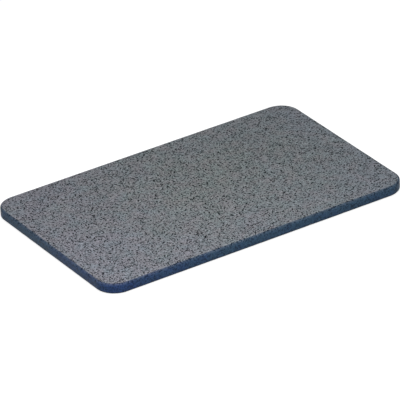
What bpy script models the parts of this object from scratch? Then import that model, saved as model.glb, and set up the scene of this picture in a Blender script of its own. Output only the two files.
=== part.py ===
"""Granite slab for leather work: a thin stone plate with rounded corners on four stick-on rubber feet.

Metres, +Z up. The origin is on the bench under the middle of the slab, with +X along its length.
Front is -Y and left is -X.
"""

import bmesh
import bpy

# The stone: one piece, 16 x 10 x 1/2 inch
SLAB_LENGTH = 0.4064
SLAB_WIDTH = 0.2540
SLAB_THICKNESS = 0.0127
CORNER_RADIUS = 0.0254
TOP_EDGE_RADIUS = 0.0025
BACK_EDGE_RADIUS = 0.0025

# The feet: die-cut rubber discs, 3/4 x 1/16 inch
FOOT_DIAMETER = 0.01905
FOOT_HEIGHT = 0.0016
FOOT_RIM_RADIUS = 0.0004
FOOT_MARGIN = 0.0220  # from a foot's rim to the slab's sides
GLUE_FILM = 0.0003  # stands between a foot and the stone

# How finely the round shapes are cut
CORNER_STEPS = 14
EDGE_STEPS = 4
FOOT_SIDES = 48
FOOT_RIM_STEPS = 3

UNDERSIDE_Z = FOOT_HEIGHT + GLUE_FILM
FOOT_X = SLAB_LENGTH / 2 - FOOT_MARGIN - FOOT_DIAMETER / 2
FOOT_Y = SLAB_WIDTH / 2 - FOOT_MARGIN - FOOT_DIAMETER / 2

SHARP_ANGLE = 0.6  # radians: a fold steeper than this keeps its crease


def clear_scene():
    for obj in list(bpy.data.objects):
        bpy.data.objects.remove(obj, do_unlink=True)


def material(name, colour, roughness):
    made = bpy.data.materials.new(name)
    made.use_nodes = True
    shader = made.node_tree.nodes["Principled BSDF"]
    shader.inputs["Base Color"].default_value = (*colour, 1.0)
    shader.inputs["Roughness"].default_value = roughness
    shader.inputs["Metallic"].default_value = 0.0
    return made


def add_piece(name, shape, finish, location, bench_point):
    """A piece at this place over the bench point, in the bench point's collection."""
    mesh = bpy.data.meshes.new(name)
    shape.to_mesh(mesh)
    shape.free()
    mesh.shade_smooth()
    mesh.set_sharp_from_angle(angle=SHARP_ANGLE)
    mesh.materials.append(finish)
    piece = bpy.data.objects.new(name, mesh)
    piece.location = location
    piece.parent = bench_point
    bench_point.users_collection[0].objects.link(piece)


def round_over(shape, edges, radius, steps):
    bmesh.ops.bevel(
        shape,
        geom=edges,
        offset=radius,
        offset_type="OFFSET",
        segments=steps,
        profile=0.5,
        affect="EDGES",
    )


def edges_at_height(shape, height):
    """The edges that lie wholly in the level plane at this height."""
    near = 1e-6
    return [edge for edge in shape.edges if all(abs(v.co.z - height) < near for v in edge.verts)]


def upright_edges(shape):
    near = 1e-6
    return [
        edge
        for edge in shape.edges
        if (edge.verts[0].co.xy - edge.verts[1].co.xy).length < near
    ]


def slab_shape():
    """The plate, centred on its own middle: corners rounded first, then the rims above and below."""
    shape = bmesh.new()
    bmesh.ops.create_cube(shape, size=1.0)
    bmesh.ops.scale(shape, vec=(SLAB_LENGTH, SLAB_WIDTH, SLAB_THICKNESS), verts=shape.verts)
    round_over(shape, upright_edges(shape), CORNER_RADIUS, CORNER_STEPS)
    round_over(shape, edges_at_height(shape, SLAB_THICKNESS / 2), TOP_EDGE_RADIUS, EDGE_STEPS)
    round_over(shape, edges_at_height(shape, -SLAB_THICKNESS / 2), BACK_EDGE_RADIUS, EDGE_STEPS)
    return shape


def foot_shape():
    """One disc, centred on its own middle, with the rim that meets the bench rounded."""
    shape = bmesh.new()
    bmesh.ops.create_cone(
        shape,
        cap_ends=True,
        segments=FOOT_SIDES,
        radius1=FOOT_DIAMETER / 2,
        radius2=FOOT_DIAMETER / 2,
        depth=FOOT_HEIGHT,
    )
    round_over(shape, edges_at_height(shape, -FOOT_HEIGHT / 2), FOOT_RIM_RADIUS, FOOT_RIM_STEPS)
    return shape


def make_slab(bench_point):
    granite = material("honed_granite", colour=(0.16, 0.17, 0.19), roughness=0.55)
    middle = (0.0, 0.0, UNDERSIDE_Z + SLAB_THICKNESS / 2)
    add_piece("granite_slab", slab_shape(), granite, middle, bench_point)


def make_feet(bench_point):
    rubber = material("black_rubber", colour=(0.02, 0.02, 0.022), roughness=0.85)
    for depth_name, y in (("front", -FOOT_Y), ("back", FOOT_Y)):
        for side_name, x in (("left", -FOOT_X), ("right", FOOT_X)):
            middle = (x, y, FOOT_HEIGHT / 2)
            add_piece(f"foot_{depth_name}_{side_name}", foot_shape(), rubber, middle, bench_point)


def main():
    clear_scene()
    pieces = bpy.data.collections.new("granite_slab")
    bpy.context.scene.collection.children.link(pieces)
    bench_point = bpy.data.objects.new("bench_point", None)
    pieces.objects.link(bench_point)
    make_slab(bench_point)
    make_feet(bench_point)


main()
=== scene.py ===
"""Looks of a granite slab for leather work.

The stone is honed on top, polished on its sides and sawn on the back; the sides' deep blue dark is
partly the polish's own colour and partly painted shade. It stands on four rubber feet, each held by a
film of adhesive. Metres, +Z up, the frame's own axes: the slab's length runs along X, and its front
long side faces -Y.
"""

import math

import bmesh
import bpy
from mathutils import Matrix, Vector, noise


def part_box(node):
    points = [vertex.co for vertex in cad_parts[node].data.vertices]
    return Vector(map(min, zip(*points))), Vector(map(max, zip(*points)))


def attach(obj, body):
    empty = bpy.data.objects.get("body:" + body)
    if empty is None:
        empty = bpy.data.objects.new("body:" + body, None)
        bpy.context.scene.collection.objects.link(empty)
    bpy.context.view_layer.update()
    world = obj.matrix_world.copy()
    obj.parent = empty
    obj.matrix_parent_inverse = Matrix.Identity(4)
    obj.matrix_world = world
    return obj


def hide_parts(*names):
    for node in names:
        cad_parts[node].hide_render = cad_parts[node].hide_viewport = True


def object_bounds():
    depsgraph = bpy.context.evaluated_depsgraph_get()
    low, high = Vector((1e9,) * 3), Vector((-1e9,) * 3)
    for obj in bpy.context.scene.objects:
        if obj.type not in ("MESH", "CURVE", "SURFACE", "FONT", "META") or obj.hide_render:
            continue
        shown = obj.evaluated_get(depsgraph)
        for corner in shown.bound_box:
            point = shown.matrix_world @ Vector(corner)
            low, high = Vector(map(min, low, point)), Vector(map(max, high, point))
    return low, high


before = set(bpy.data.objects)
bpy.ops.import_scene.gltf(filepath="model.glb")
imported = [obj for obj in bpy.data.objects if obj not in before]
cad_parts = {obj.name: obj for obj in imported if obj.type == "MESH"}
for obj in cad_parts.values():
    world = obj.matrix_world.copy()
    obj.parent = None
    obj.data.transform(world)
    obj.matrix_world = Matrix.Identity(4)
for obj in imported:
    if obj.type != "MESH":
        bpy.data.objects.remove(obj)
cad_low, cad_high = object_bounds()
slab_low, slab_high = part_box("granite_slab")

MM = 0.001


# ---------------------------------------------------------------- shader expressions


class Value:
    """One number that changes over a surface. Sums and products of values add Math nodes."""

    def __init__(self, finish, socket):
        self.finish = finish
        self.socket = socket

    def other(self, output):
        """Another output of the node that this value comes from."""
        outputs = {socket.identifier: socket for socket in self.socket.node.outputs}
        return Value(self.finish, outputs[output])

    def math(self, operation, first, second):
        inputs = {"Value": first, "Value_001": second}
        return self.finish.node("ShaderNodeMath", {"operation": operation}, inputs)

    def __add__(self, other):
        return self.math("ADD", self, other)

    __radd__ = __add__

    def __sub__(self, other):
        return self.math("SUBTRACT", self, other)

    def __rsub__(self, other):
        return self.math("SUBTRACT", other, self)

    def __mul__(self, other):
        return self.math("MULTIPLY", self, other)

    __rmul__ = __mul__


class Finish:
    """A material in the making: its node tree and its Principled shader."""

    def __init__(self, name, **settings):
        self.material = bpy.data.materials.new(name)
        self.material.use_nodes = True
        self.tree = self.material.node_tree
        self.shader = self.tree.nodes["Principled BSDF"]
        for socket, value in settings.items():
            self.shader.inputs[socket.replace("_", " ")].default_value = value

    def node(self, kind, settings, inputs, output=None):
        """Adds a node: first its settings, then its sockets' values or links.

        Returns the named output, or the first one.
        """
        made = self.tree.nodes.new(kind)
        for setting, value in settings.items():
            if setting == "stops":
                self.set_stops(made.color_ramp, value)
            else:
                setattr(made, setting, value)
        sockets = {socket.identifier: socket for socket in made.inputs}
        for socket, value in inputs.items():
            self.feed(sockets[socket], value)
        outputs = {socket.identifier: socket for socket in made.outputs}
        return Value(self, outputs[output] if output else made.outputs[0])

    def set_stops(self, ramp, stops):
        ramp.interpolation = "CONSTANT"
        while len(ramp.elements) < len(stops):
            ramp.elements.new(0.5)
        for element, (position, colour) in zip(ramp.elements, stops):
            element.position = position
            element.color = (*colour, 1.0)

    def feed(self, socket, value):
        if isinstance(value, Value):
            self.tree.links.new(value.socket, socket)
        elif socket.type == "RGBA":
            socket.default_value = (*value, 1.0)
        else:
            socket.default_value = value

    def surface(self, **channels):
        """Links the shader's own sockets, such as Base_Color."""
        for socket, value in channels.items():
            self.feed(self.shader.inputs[socket.replace("_", " ")], value)

    def vector(self, operation, inputs, output="Vector"):
        return self.node("ShaderNodeVectorMath", {"operation": operation}, inputs, output)

    def place(self):
        """The point on the piece, in millimetres."""
        metres = self.node("ShaderNodeTexCoord", {}, {}, "Object")
        return self.vector("SCALE", {"Vector": metres, "Scale": 1 / MM})

    def part_of(self, vector, axis):
        """One of a vector's numbers: X, Y or Z."""
        return self.node("ShaderNodeSeparateXYZ", {}, {"Vector": vector}, axis)

    def facing(self):
        """How far the surface faces up: 1 on a level top, 0 on an upright side, -1 underneath."""
        return self.part_of(self.node("ShaderNodeNewGeometry", {}, {}, "Normal"), "Z")

    def distance(self, place, spot):
        """How far the place is from a spot, in millimetres."""
        return self.vector("DISTANCE", {"Vector": place, "Vector_001": spot}, "Value")

    def clouds(self, place, size, detail=2.0, roughness=0.5, output="Fac"):
        """Soft noise whose patches are about this many millimetres across."""
        inputs = {"Vector": place, "Scale": 1 / size, "Detail": detail, "Roughness": roughness}
        return self.node("ShaderNodeTexNoise", {}, inputs, output)

    def drift(self, place, size, unrest):
        """Clouds that swing about 0, for adding to another value."""
        return (self.clouds(place, size) - 0.5) * unrest

    def nudge(self, place, size, reach):
        """The place moved about by noise, which makes smooth grain borders ragged."""
        push = self.clouds(place, size, detail=4.0, roughness=0.7, output="Color")
        push = self.vector("SUBTRACT", {"Vector": push, "Vector_001": (0.5, 0.5, 0.5)})
        push = self.vector("SCALE", {"Vector": push, "Scale": reach})
        return self.vector("ADD", {"Vector": place, "Vector_001": push})

    def grains(self, place, size):
        """Crystals about this many millimetres across.

        Returns how far each point is from its crystal's middle, as a share of the size, and the
        crystal's own chance from 0 to 1. The chance has two more, under Green and Blue.
        """
        inputs = {"Vector": place, "Scale": 1 / size}
        distance = self.node("ShaderNodeTexVoronoi", {"feature": "F1"}, inputs)
        chance = self.node("ShaderNodeSeparateColor", {}, {"Color": distance.other("Color")})
        return distance, chance

    def spread(self, value, low, high, smooth=True):
        """Maps low..high onto 0..1, with soft ends if smooth, and holds the ends outside it."""
        settings = {"interpolation_type": "SMOOTHSTEP" if smooth else "LINEAR"}
        inputs = {"Value": value, "From Min": low, "From Max": high}
        return self.node("ShaderNodeMapRange", settings, inputs)

    def below(self, value, limit, border):
        """1 where the value is under the limit and 0 over it, with a soft border of this half width."""
        return self.spread(value, limit + border, limit - border)

    def blend(self, amount, first, second, kind="MIX"):
        """A colour from first to second."""
        settings = {"data_type": "RGBA", "blend_type": kind}
        inputs = {"Factor_Float": amount, "A_Color": first, "B_Color": second}
        return self.node("ShaderNodeMix", settings, inputs, "Result_Color")

    def tinted(self, colour, tint):
        return self.blend(1.0, colour, tint, kind="MULTIPLY")

    def pick(self, chance, *choices):
        """One colour out of several (share, colour) choices, by a chance from 0 to 1.

        The last choice takes what the others leave, whatever its share says.
        """
        stops = []
        start = 0.0
        for share, colour in choices:
            stops.append((start, colour))
            start += share
        return self.node("ShaderNodeValToRGB", {"stops": stops}, {"Fac": chance})

    def relief(self, height, depth):
        """A bump of this depth in millimetres, where height runs from 0 to 1."""
        inputs = {"Height": height, "Distance": depth * MM, "Strength": 1.0}
        return self.node("ShaderNodeBump", {}, inputs, "Normal")


# ---------------------------------------------------------------- granite

# Sizes are in millimetres here, and colours are linear.

# The ground: crystals of four pale minerals, with how much of it each one is. White takes what is left.
CRYSTAL_SIZE = 1.15
QUARTZ = (0.185, 0.198, 0.209)
QUARTZ_SHARE = 0.30
FELDSPAR = (0.214, 0.229, 0.241)
FELDSPAR_SHARE = 0.38
PALE_FELDSPAR = (0.252, 0.268, 0.283)
PALE_FELDSPAR_SHARE = 0.24
WHITE_GRAIN = (0.340, 0.358, 0.372)
RAGGED_SIZE = 1.2
RAGGED_REACH = 0.6

# The dark flecks: knots of crystals, and single ones in between
BIOTITE = (0.007, 0.010, 0.012)
FLECK_SPACING = 2.6
FLECK_REACH = 0.365  # a usual fleck's radius, as a share of the spacing
FLECK_SPREAD = 0.05  # how much larger or smaller than that it may be
FLECK_BORDER = 0.02
LONE_FLECK_SHARE = 0.06
LONE_FLECK_BORDER = 0.01
CLUSTER_SIZE = 12.0
CLUSTER_PULL = 0.12  # how strongly the flecks crowd together in places

# Wide faint clouds: green in the middle and mauve at the ends, rose on the left and teal on the right
GREENISH = (0.996, 1.008, 0.951)
MAUVE = (1.004, 0.992, 1.056)
GREEN_HEART = (30.0, 15.0, 8.0)
HEART_CORE = 20.0
HEART_REACH = 220.0
TINT_SIZE = 30.0
TINT_UNREST = 1.1
TEAL_PATCH = (0.95, 1.015, 1.015)
ROSE_PATCH = (1.04, 0.985, 0.985)
PATCH_SIZE = 16.0
PATCH_BORDER = 0.15
PATCH_DRIFT = 0.0004  # how fast rose gives way to teal along the slab, per millimetre

# Away from the front left corner the hone left a faint haze, which evens out the grain
FRONT_LEFT = (-190.0, -115.0, 8.0)
MEAN_GREY = (0.1745, 0.1866, 0.1968)  # the stone's own average
HAZE_STRENGTH = 0.12
HAZE_FROM = 170.0
HAZE_FULL = 440.0

# A polished side is painted deep blue and dark, partly the polish's own deeper colour and partly
# painted shade of sides lying away from the light above; bluest at the front left
SHADED_SIDE_TEAL = (0.026, 0.054, 0.090)
SHADED_SIDE_VIOLET = (0.017, 0.036, 0.100)
# The dark of the flecks on the sides, and of the painted shade at their foot and lower rim
SIDE_FLECK_AND_SHADE = (0.008, 0.014, 0.026)
VIOLET_REACH = 150.0
SIDE_TINT_SIZE = 14.0
SIDE_TINT_UNREST = 1.3
SIDE_CRYSTAL_CONTRAST = 0.25
SIDE_FLECK_STRENGTH = 0.7
LOW_SHADE_STRENGTH = 0.25  # painted shade: a side is this much darker at its foot
LOW_SHADE_TOP = 12.0
LOW_SHADE_BOTTOM = 3.0
RIM_SHADE_STRENGTH = 0.85  # painted shade on the lower rim, where it turns away from the light
RIM_SHADE_FROM = 0.05
RIM_SHADE_FULL = -0.5

# Where one finish turns into the next, by how far the surface faces up
HONE_EDGE = 0.98
HONE_SHARE = 0.77  # how much of the hone ends there; the rest fades out down the rim
HONE_RAGGEDNESS = 0.015
SAWN_FROM = -0.70
SAWN_FULL = -0.96

# The back keeps the shallow arcs and the dust that the saw left
SAWN_DUST = (0.260, 0.268, 0.278)
DUST_LEAST = 0.10
DUST_IN_STROKES = 0.55
SAW_CENTRE = (-260.0, -900.0, 0.0)
SAW_STROKE = 5.5
SAW_WOBBLE = 6.0
SAW_WOBBLE_SIZE = 40.0

# Shine and relief, in which the flecks and the crystals show as well
GLOSS = 0.04
SIDE_ROUGHNESS = 0.36
HONED_ROUGHER = 0.22
SAWN_ROUGHER = 0.5
FLECK_SMOOTHER = 0.06
PATCH_ROUGHER = 0.04
GRAIN_STEP = 0.5  # how far the ground stands over the softer flecks, as a share of the relief
PIT_SIZE = 0.5
PIT_DEPTH = 0.35
SAWN_PIT_DEPTH = 2.5
STROKE_DEPTH = 3.0
STONE_RELIEF = 0.02


def stone_grain(stone, place):
    """The ground's colour, how dark the flecks are from 0 to 1, and each crystal's chance."""
    ragged = stone.nudge(place, size=RAGGED_SIZE, reach=RAGGED_REACH)
    crystals, chance = stone.grains(ragged, size=CRYSTAL_SIZE)
    ground = stone.pick(
        chance,
        (QUARTZ_SHARE, QUARTZ),
        (FELDSPAR_SHARE, FELDSPAR),
        (PALE_FELDSPAR_SHARE, PALE_FELDSPAR),
        (0.0, WHITE_GRAIN),
    )
    crowding = stone.drift(place, CLUSTER_SIZE, CLUSTER_PULL)
    # A fleck is a knot of whole crystals, so it has their corners
    distance, fleck_chance = stone.grains(crystals.other("Position"), size=FLECK_SPACING)
    beyond = distance + crowding - (fleck_chance - 0.5) * (2 * FLECK_SPREAD)
    knots = stone.below(beyond, FLECK_REACH, FLECK_BORDER)
    lone = stone.below(chance.other("Green") + crowding, LONE_FLECK_SHARE, LONE_FLECK_BORDER)
    return ground, knots + lone - knots * lone, chance


def honed_face(stone, place, ground, dark):
    """The honed colour, and how rosy the stone is from 0 to 1."""
    from_heart = stone.spread(stone.distance(place, GREEN_HEART), HEART_CORE, HEART_REACH, smooth=False)
    lean = from_heart + stone.drift(place, TINT_SIZE, TINT_UNREST)
    colour = stone.blend(dark, ground, BIOTITE)
    colour = stone.tinted(colour, stone.blend(lean, GREENISH, MAUVE))
    rosy = stone.clouds(place, PATCH_SIZE) - stone.part_of(place, "X") * PATCH_DRIFT
    rosy = stone.spread(rosy, 0.5 - PATCH_BORDER, 0.5 + PATCH_BORDER, smooth=False)
    colour = stone.tinted(colour, stone.blend(rosy, TEAL_PATCH, ROSE_PATCH))
    haze = stone.spread(stone.distance(place, FRONT_LEFT), HAZE_FROM, HAZE_FULL, smooth=False)
    return stone.blend(haze * HAZE_STRENGTH, colour, MEAN_GREY), rosy


def shaded_polished_side(stone, place, facing, dark, chance):
    """The polished colour, partly painted shade, with the crystals faintly in it; painted shade darkens
    it further towards the foot and along the lower rim.
    """
    from_corner = stone.spread(stone.distance(place, FRONT_LEFT), 0.0, VIOLET_REACH, smooth=False)
    lean = from_corner + stone.drift(place, SIDE_TINT_SIZE, SIDE_TINT_UNREST)
    colour = stone.blend(lean, SHADED_SIDE_VIOLET, SHADED_SIDE_TEAL)
    colour = stone.tinted(colour, 1 - SIDE_CRYSTAL_CONTRAST + chance * (2 * SIDE_CRYSTAL_CONTRAST))
    colour = stone.blend(dark * SIDE_FLECK_STRENGTH, colour, SIDE_FLECK_AND_SHADE)
    # Painted shade, darker towards the foot of the side
    painted_low_shade = stone.spread(stone.part_of(place, "Z"), LOW_SHADE_TOP, LOW_SHADE_BOTTOM, smooth=False)
    colour = stone.blend(painted_low_shade * LOW_SHADE_STRENGTH, colour, SIDE_FLECK_AND_SHADE)
    # Painted shade on the lower rim, which faces down away from the light
    painted_rim_shade = stone.spread(facing, RIM_SHADE_FROM, RIM_SHADE_FULL)
    return stone.blend(painted_rim_shade * RIM_SHADE_STRENGTH, colour, SIDE_FLECK_AND_SHADE)


def saw_strokes(stone, place):
    """0 to 1 across each of the arcs that the saw left."""
    turns = stone.distance(place, SAW_CENTRE) * (2 * math.pi / SAW_STROKE)
    turns = turns + stone.clouds(place, SAW_WOBBLE_SIZE) * SAW_WOBBLE
    return stone.node("ShaderNodeMath", {"operation": "SINE"}, {"Value": turns}) * 0.5 + 0.5


def granite():
    """Honed on top, polished on the sides and the rounded edges, sawn on the back."""
    stone = Finish("granite", Specular_IOR_Level=GLOSS)
    place = stone.place()
    facing = stone.facing()
    ground, dark, chance = stone_grain(stone, place)
    honed, rosy = honed_face(stone, place, ground, dark)
    # The sides' colour is partly the polish's own and partly painted shade
    polished = shaded_polished_side(stone, place, facing, dark, chance)
    strokes = saw_strokes(stone, place)
    sawn = stone.blend(DUST_LEAST + strokes * DUST_IN_STROKES, honed, SAWN_DUST)

    # Crystal by crystal, the hone gives way to the polish over the upper rim
    upward = facing + chance * HONE_RAGGEDNESS
    on_top = stone.spread(upward, HONE_EDGE, 1.0, smooth=False) * HONE_SHARE
    on_top = on_top + stone.spread(upward, 0.0, 1.0, smooth=False) * (1 - HONE_SHARE)
    on_back = stone.spread(facing, SAWN_FROM, SAWN_FULL)
    colour = stone.blend(on_back, stone.blend(on_top, polished, honed), sawn)

    rough = SIDE_ROUGHNESS + on_top * HONED_ROUGHER + on_back * SAWN_ROUGHER
    rough = rough - dark * FLECK_SMOOTHER + rosy * PATCH_ROUGHER
    pits = stone.clouds(place, PIT_SIZE, detail=4.0, roughness=0.65)
    pits = pits * (PIT_DEPTH + on_back * SAWN_PIT_DEPTH)
    height = (1 - dark) * GRAIN_STEP + pits + strokes * (on_back * STROKE_DEPTH)
    stone.surface(Base_Color=colour, Roughness=rough, Normal=stone.relief(height, STONE_RELIEF))
    return stone.material


# ---------------------------------------------------------------- rubber and adhesive

# Sizes are in millimetres here too
RUBBER_BLACK = (0.013, 0.013, 0.014)
RUBBER_BLOOM = (0.030, 0.030, 0.032)
BLOOM_SIZE = 3.0
BLOOM_FROM = 0.35
BLOOM_FULL = 0.75
BLOOM_ROUGHER = 0.25
RUBBER_DUST = (0.10, 0.10, 0.10)
DUST_SIZE = 0.35
DUST_FROM = 0.62
DUST_FULL = 0.72
DUST_STRENGTH = 0.4
RUBBER_GLOSS = 0.4
RUBBER_ROUGHNESS = 0.68
RUBBER_GRAIN_SIZE = 0.25
RUBBER_RELIEF = 0.04

FOAM_SHADE = (0.55, 0.52, 0.44)
FOAM_LIGHT = (0.72, 0.70, 0.62)
FOAM_GLOSS = 0.3
FOAM_ROUGHNESS = 0.5
FOAM_CELL_SIZE = 0.6
FOAM_CELL_ROUGHER = 0.2
FOAM_RELIEF = 0.03


def rubber():
    """Black die-cut rubber with a dusty bloom."""
    foot = Finish("rubber", Specular_IOR_Level=RUBBER_GLOSS)
    place = foot.place()
    bloom = foot.clouds(place, BLOOM_SIZE, detail=4.0, roughness=0.6)
    specks = foot.spread(foot.clouds(place, DUST_SIZE, detail=1.0), DUST_FROM, DUST_FULL)
    colour = foot.blend(foot.spread(bloom, BLOOM_FROM, BLOOM_FULL), RUBBER_BLACK, RUBBER_BLOOM)
    colour = foot.blend(specks * DUST_STRENGTH, colour, RUBBER_DUST)
    rough = RUBBER_ROUGHNESS + bloom * BLOOM_ROUGHER
    grain = foot.clouds(place, RUBBER_GRAIN_SIZE, detail=3.0)
    foot.surface(Base_Color=colour, Roughness=rough, Normal=foot.relief(grain, RUBBER_RELIEF))
    return foot.material


def adhesive():
    """Pale foam tape, a little uneven in colour."""
    film = Finish("adhesive", Specular_IOR_Level=FOAM_GLOSS)
    cells = film.clouds(film.place(), FOAM_CELL_SIZE, detail=3.0)
    colour = film.blend(cells, FOAM_SHADE, FOAM_LIGHT)
    rough = FOAM_ROUGHNESS + cells * FOAM_CELL_ROUGHER
    film.surface(Base_Color=colour, Roughness=rough, Normal=film.relief(cells, FOAM_RELIEF))
    return film.material


# ---------------------------------------------------------------- making pieces


def add_piece(name, shape, finish, replaced=None):
    """Turns the shape into a smooth-shaded piece that rides with the slab."""
    bmesh.ops.recalc_face_normals(shape, faces=shape.faces)
    mesh = bpy.data.meshes.new(name)
    shape.to_mesh(mesh)
    shape.free()
    mesh.shade_smooth()
    mesh.materials.append(finish)
    piece = bpy.data.objects.new(name, mesh)
    bpy.context.scene.collection.objects.link(piece)
    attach(piece, "root")
    if replaced:
        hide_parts(replaced)


def quarter_turn(steps):
    return [math.pi / 2 * step / steps for step in range(steps + 1)]


def wander(point, size):
    """Smooth change between -1 and 1 along a rim, the same on each run."""
    return noise.noise(point / size)


def place_on(point, outward, inset, z):
    spot = point - outward * inset
    return (spot.x, spot.y, z)


def join_columns(shape, columns):
    """Faces between neighbouring columns of points, and a flat face at each end."""
    for first, second in zip(columns, columns[1:] + columns[:1]):
        for row in range(len(first) - 1):
            shape.faces.new((first[row], second[row], second[row + 1], first[row + 1]))
    shape.faces.new([column[0] for column in columns])
    shape.faces.new([column[-1] for column in columns])


# ---------------------------------------------------------------- the stone

# The plan's size and the slab's height come from the frame
CORNER_RADIUS = 25.4 * MM
CORNER_STEPS = 36
RIM_STEP = 1.6 * MM  # spacing of points along the straight sides
TOP_EDGE_RADIUS = 2.5 * MM
TOP_EDGE_STEPS = 12
BACK_EDGE_RADIUS = 2.5 * MM
BACK_EDGE_STEPS = 6
SIDE_ROWS = (0.62, 0.42, 0.22)  # heights of the points on the upright side, as shares of the slab's
FLAT_MARGIN = 1.2 * MM  # a level strip inside each rim, so that the flat faces shade flat

# A hand-held polisher changes the rounded edges along their way by this share
EDGE_WANDER = 0.08
TOP_WANDER_SIZE = 30 * MM
BACK_WANDER_SIZE = 9 * MM

# Small chips that the saw left along the back edge
NICKS = 26
NICK_SEED = 11
NICK_REACH = 2.2 * MM
NICK_DEPTH = 0.35 * MM
SMALLEST_NICK = 0.35
NICK_ROUGHNESS = 0.25
NICK_ROUGHNESS_SIZE = 0.9 * MM


def slab_outline():
    """(point, outward direction) pairs round the slab's plan, at its widest."""
    half = (slab_high - slab_low) / 2
    pairs = []
    for quarter, (x, y) in enumerate(((1, 1), (-1, 1), (-1, -1), (1, -1))):
        centre = Vector((x * (half.x - CORNER_RADIUS), y * (half.y - CORNER_RADIUS), 0))
        for step in range(CORNER_STEPS + 1):
            angle = (quarter + step / CORNER_STEPS) * math.pi / 2
            outward = Vector((math.cos(angle), math.sin(angle), 0))
            pairs.append((centre + outward * CORNER_RADIUS, outward))
        corner_end, outward = pairs[-1]
        run = 2 * ((half.y if quarter % 2 else half.x) - CORNER_RADIUS)
        along = Vector((-outward.y, outward.x, 0))
        steps = round(run / RIM_STEP)
        for step in range(1, steps):
            pairs.append((corner_end + along * (run * step / steps), outward))
    return pairs


def nicks_along(outline):
    """(centre, reach, depth) of each nick."""
    noise.seed_set(NICK_SEED)
    nicks = []
    for _ in range(NICKS):
        centre = outline[int(noise.random() * len(outline))][0]
        size = SMALLEST_NICK + (1 - SMALLEST_NICK) * noise.random()
        nicks.append((centre, NICK_REACH * size, NICK_DEPTH * size))
    return nicks


def nick_depth(point, nicks):
    depth = 0.0
    for centre, reach, deepest in nicks:
        near = 1 - ((point - centre).length / reach) ** 2
        if near > 0:
            rough = 1 - NICK_ROUGHNESS + NICK_ROUGHNESS * wander(point, NICK_ROUGHNESS_SIZE)
            depth = max(depth, deepest * near * rough)
    return depth


def stone_section(top, back):
    """(inset, height) down the stone's side, from flat top to flat back, for its two edge radii."""
    section = [(TOP_EDGE_RADIUS * (1 + EDGE_WANDER) + FLAT_MARGIN, slab_high.z)]
    section += [
        (top * (1 - math.sin(turn)), slab_high.z - top * (1 - math.cos(turn)))
        for turn in quarter_turn(TOP_EDGE_STEPS)
    ]
    section += [(0.0, slab_low.z + (slab_high.z - slab_low.z) * share) for share in SIDE_ROWS]
    section += [
        (back * (1 - math.cos(turn)), slab_low.z + back * (1 - math.sin(turn)))
        for turn in quarter_turn(BACK_EDGE_STEPS)
    ]
    section.append((BACK_EDGE_RADIUS + NICK_DEPTH + FLAT_MARGIN, slab_low.z))
    return section


def make_stone():
    outline = slab_outline()
    nicks = nicks_along(outline)
    shape = bmesh.new()
    columns = []
    for point, outward in outline:
        top = TOP_EDGE_RADIUS * (1 + EDGE_WANDER * wander(point, TOP_WANDER_SIZE))
        back = BACK_EDGE_RADIUS * (1 + EDGE_WANDER * wander(point, BACK_WANDER_SIZE))
        section = stone_section(top, back + nick_depth(point, nicks))
        columns.append([shape.verts.new(place_on(point, outward, inset, z)) for inset, z in section])
    join_columns(shape, columns)
    add_piece("stone", shape, granite(), replaced="granite_slab")


# ---------------------------------------------------------------- the feet

FOOT_RIM_RADIUS = 0.4 * MM
FOOT_RIM_STEPS = 6
FOOT_SHOULDER_RADIUS = 0.2 * MM
FOOT_SHOULDER_STEPS = 4
FOOT_TURNS = 96
GRIP_RINGS = (3.0 * MM, 5.2 * MM, 7.4 * MM)
GRIP_WIDTH = 0.7 * MM
GRIP_DEPTH = 0.25 * MM
GRIP_STEPS = 6
GRIP_SHORE = 1.6  # how far past a groove its points go on, where 1 is its rim

# The adhesive film in the gap between a foot and the stone
FILM_INSET = 0.25 * MM
FILM_SLACK = 0.02 * MM
FILM_BULGE = 0.06 * MM
FILM_RAGGEDNESS = 0.15 * MM
FILM_WANDER_SIZE = 1.5 * MM
FILM_WANDER_RADIUS = 4 * MM


def foot_section(low, high, radius):
    """(radius, height) down the outside of a foot and in across its ringed sole."""
    shoulder, rim = FOOT_SHOULDER_RADIUS, FOOT_RIM_RADIUS
    section = [(radius - shoulder - FLAT_MARGIN, high)]
    section += [
        (radius - shoulder * (1 - math.sin(turn)), high - shoulder * (1 - math.cos(turn)))
        for turn in quarter_turn(FOOT_SHOULDER_STEPS)
    ]
    section += [
        (radius - rim * (1 - math.cos(turn)), low + rim * (1 - math.sin(turn)))
        for turn in quarter_turn(FOOT_RIM_STEPS)
    ]
    step = GRIP_WIDTH / GRIP_STEPS
    spot = radius - rim - step
    while spot > GRIP_RINGS[0] - GRIP_WIDTH:
        away = min(abs(spot - ring) for ring in GRIP_RINGS) / (GRIP_WIDTH / 2)
        if away < GRIP_SHORE:
            groove = math.cos(math.pi / 2 * min(away, 1.0)) ** 2
            section.append((spot, low + GRIP_DEPTH * groove))
        spot -= step
    return section


def film_section(low, high, radius):
    """(radius, height) down the film's edge, which bulges a little in the middle."""
    third = (high - low) / 3
    end = radius - FILM_BULGE
    return (end, high), (radius, high - third), (radius, low + third), (end, low)


def turn_section(section, centre, raggedness=0.0):
    """The section turned about an upright axis, its rim moved in and out by up to the raggedness."""
    shape = bmesh.new()
    columns = []
    for step in range(FOOT_TURNS):
        angle = 2 * math.pi * step / FOOT_TURNS
        outward = Vector((math.cos(angle), math.sin(angle), 0))
        push = raggedness * wander(centre + outward * FILM_WANDER_RADIUS, FILM_WANDER_SIZE)
        spots = [place_on(centre, outward, -(radius + push), z) for radius, z in section]
        columns.append([shape.verts.new(spot) for spot in spots])
    join_columns(shape, columns)
    return shape


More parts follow.
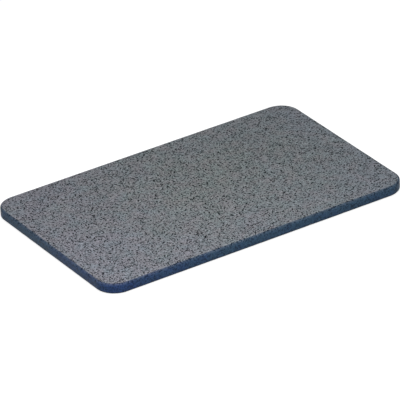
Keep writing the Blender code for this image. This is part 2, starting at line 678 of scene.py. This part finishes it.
def make_feet():
    black = rubber()
    tape = adhesive()
    for corner in ("front_left", "front_right", "back_left", "back_right"):
        low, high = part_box(f"foot_{corner}")
        centre = (low + high) / 2
        radius = (high.x - low.x) / 2
        foot = turn_section(foot_section(low.z, high.z, radius), centre)
        add_piece(f"rubber_foot_{corner}", foot, black, replaced=f"foot_{corner}")
        edge = film_section(high.z + FILM_SLACK, slab_low.z - FILM_SLACK, radius - FILM_INSET)
        film = turn_section(edge, centre, FILM_RAGGEDNESS)
        add_piece(f"adhesive_film_{corner}", film, tape)


# ---------------------------------------------------------------- studio

CAMERA_AZIMUTH = math.radians(-31.1)
CAMERA_ELEVATION = math.radians(28.47)
CAMERA_ROLL = math.radians(-3.5)
CAMERA_DISTANCE = 5.58
CAMERA_LENS = 436.9
CAMERA_SENSOR = 36.0
CAMERA_REACH = 200.0
AIM_RIGHT = -0.67 * MM
AIM_UP = 1.60 * MM


def make_camera():
    """A long lens over the front left corner, rolled a little, aimed close to the stone's middle."""
    across = Vector((math.cos(CAMERA_AZIMUTH), math.sin(CAMERA_AZIMUTH), 0))
    back = Vector(
        (
            math.sin(CAMERA_AZIMUTH) * math.cos(CAMERA_ELEVATION),
            -math.cos(CAMERA_AZIMUTH) * math.cos(CAMERA_ELEVATION),
            math.sin(CAMERA_ELEVATION),
        )
    )
    right = across * math.cos(CAMERA_ROLL) + back.cross(across) * math.sin(CAMERA_ROLL)
    up = back.cross(right)
    aim = Vector((0, 0, slab_low.z)) + right * AIM_RIGHT + up * AIM_UP
    lens = bpy.data.cameras.new("camera")
    lens.lens = CAMERA_LENS
    lens.sensor_width = CAMERA_SENSOR
    lens.clip_end = CAMERA_REACH
    camera = bpy.data.objects.new("camera", lens)
    turned = Matrix((right, up, back)).transposed().to_4x4()
    camera.matrix_world = Matrix.Translation(aim + back * CAMERA_DISTANCE) @ turned
    bpy.context.scene.collection.objects.link(camera)
    bpy.context.scene.camera = camera


FLOOR_RADIUS = 12.0
FLOOR_SIDES = 96
FLOOR_RIM = 0.6  # the floor's far rim turns up, so that a low camera sees no horizon
FLOOR_GREY = (0.40, 0.40, 0.40, 1.0)
FLOOR_GLOW = 0.80


def make_floor():
    """A round white table lit from inside, which leaves only a faint shadow."""
    shape = bmesh.new()
    bmesh.ops.create_circle(shape, cap_ends=True, segments=FLOOR_SIDES, radius=FLOOR_RADIUS)
    rim = bmesh.ops.extrude_edge_only(shape, edges=shape.edges[:])["geom"]
    rim = [element for element in rim if isinstance(element, bmesh.types.BMVert)]
    wider = 1 + FLOOR_RIM / FLOOR_RADIUS
    bmesh.ops.scale(shape, verts=rim, vec=(wider, wider, 1.0))
    bmesh.ops.translate(shape, verts=rim, vec=(0.0, 0.0, FLOOR_RIM))
    mesh = bpy.data.meshes.new("floor")
    shape.to_mesh(mesh)
    shape.free()
    table = Finish(
        "lit_white_table",
        Base_Color=FLOOR_GREY,
        Roughness=0.9,
        Specular_IOR_Level=0.0,
        Emission_Color=(1.0, 1.0, 1.0, 1.0),
        Emission_Strength=FLOOR_GLOW,
    )
    mesh.materials.append(table.material)
    floor = bpy.data.objects.new("floor", mesh)
    floor.location.z = cad_low.z
    bpy.context.scene.collection.objects.link(floor)


SKY_STRENGTH = 0.42
SOFTBOX_SIZE = (0.5, 0.4)
SOFTBOX_POWER = 6.35
SOFTBOX_PLACE = (-0.34, -0.54, 0.70)
SOFTBOX_COLOUR = (0.99, 1.0, 1.04)


def make_light():
    world = bpy.data.worlds.new("studio")
    world.use_nodes = True
    sky = world.node_tree.nodes["Background"]
    sky.inputs["Color"].default_value = (1.0, 1.0, 1.0, 1.0)
    sky.inputs["Strength"].default_value = SKY_STRENGTH
    bpy.context.scene.world = world

    box = bpy.data.lights.new("softbox", "AREA")
    box.shape = "RECTANGLE"
    box.size, box.size_y = SOFTBOX_SIZE
    box.energy = SOFTBOX_POWER
    box.color = SOFTBOX_COLOUR
    lamp = bpy.data.objects.new("softbox", box)
    lamp.location = SOFTBOX_PLACE
    lamp.rotation_euler = (-lamp.location).to_track_quat("-Z", "Y").to_euler()
    bpy.context.scene.collection.objects.link(lamp)
    bpy.context.scene.view_settings.view_transform = "Standard"


make_camera()
make_stone()
make_feet()
make_floor()
make_light()
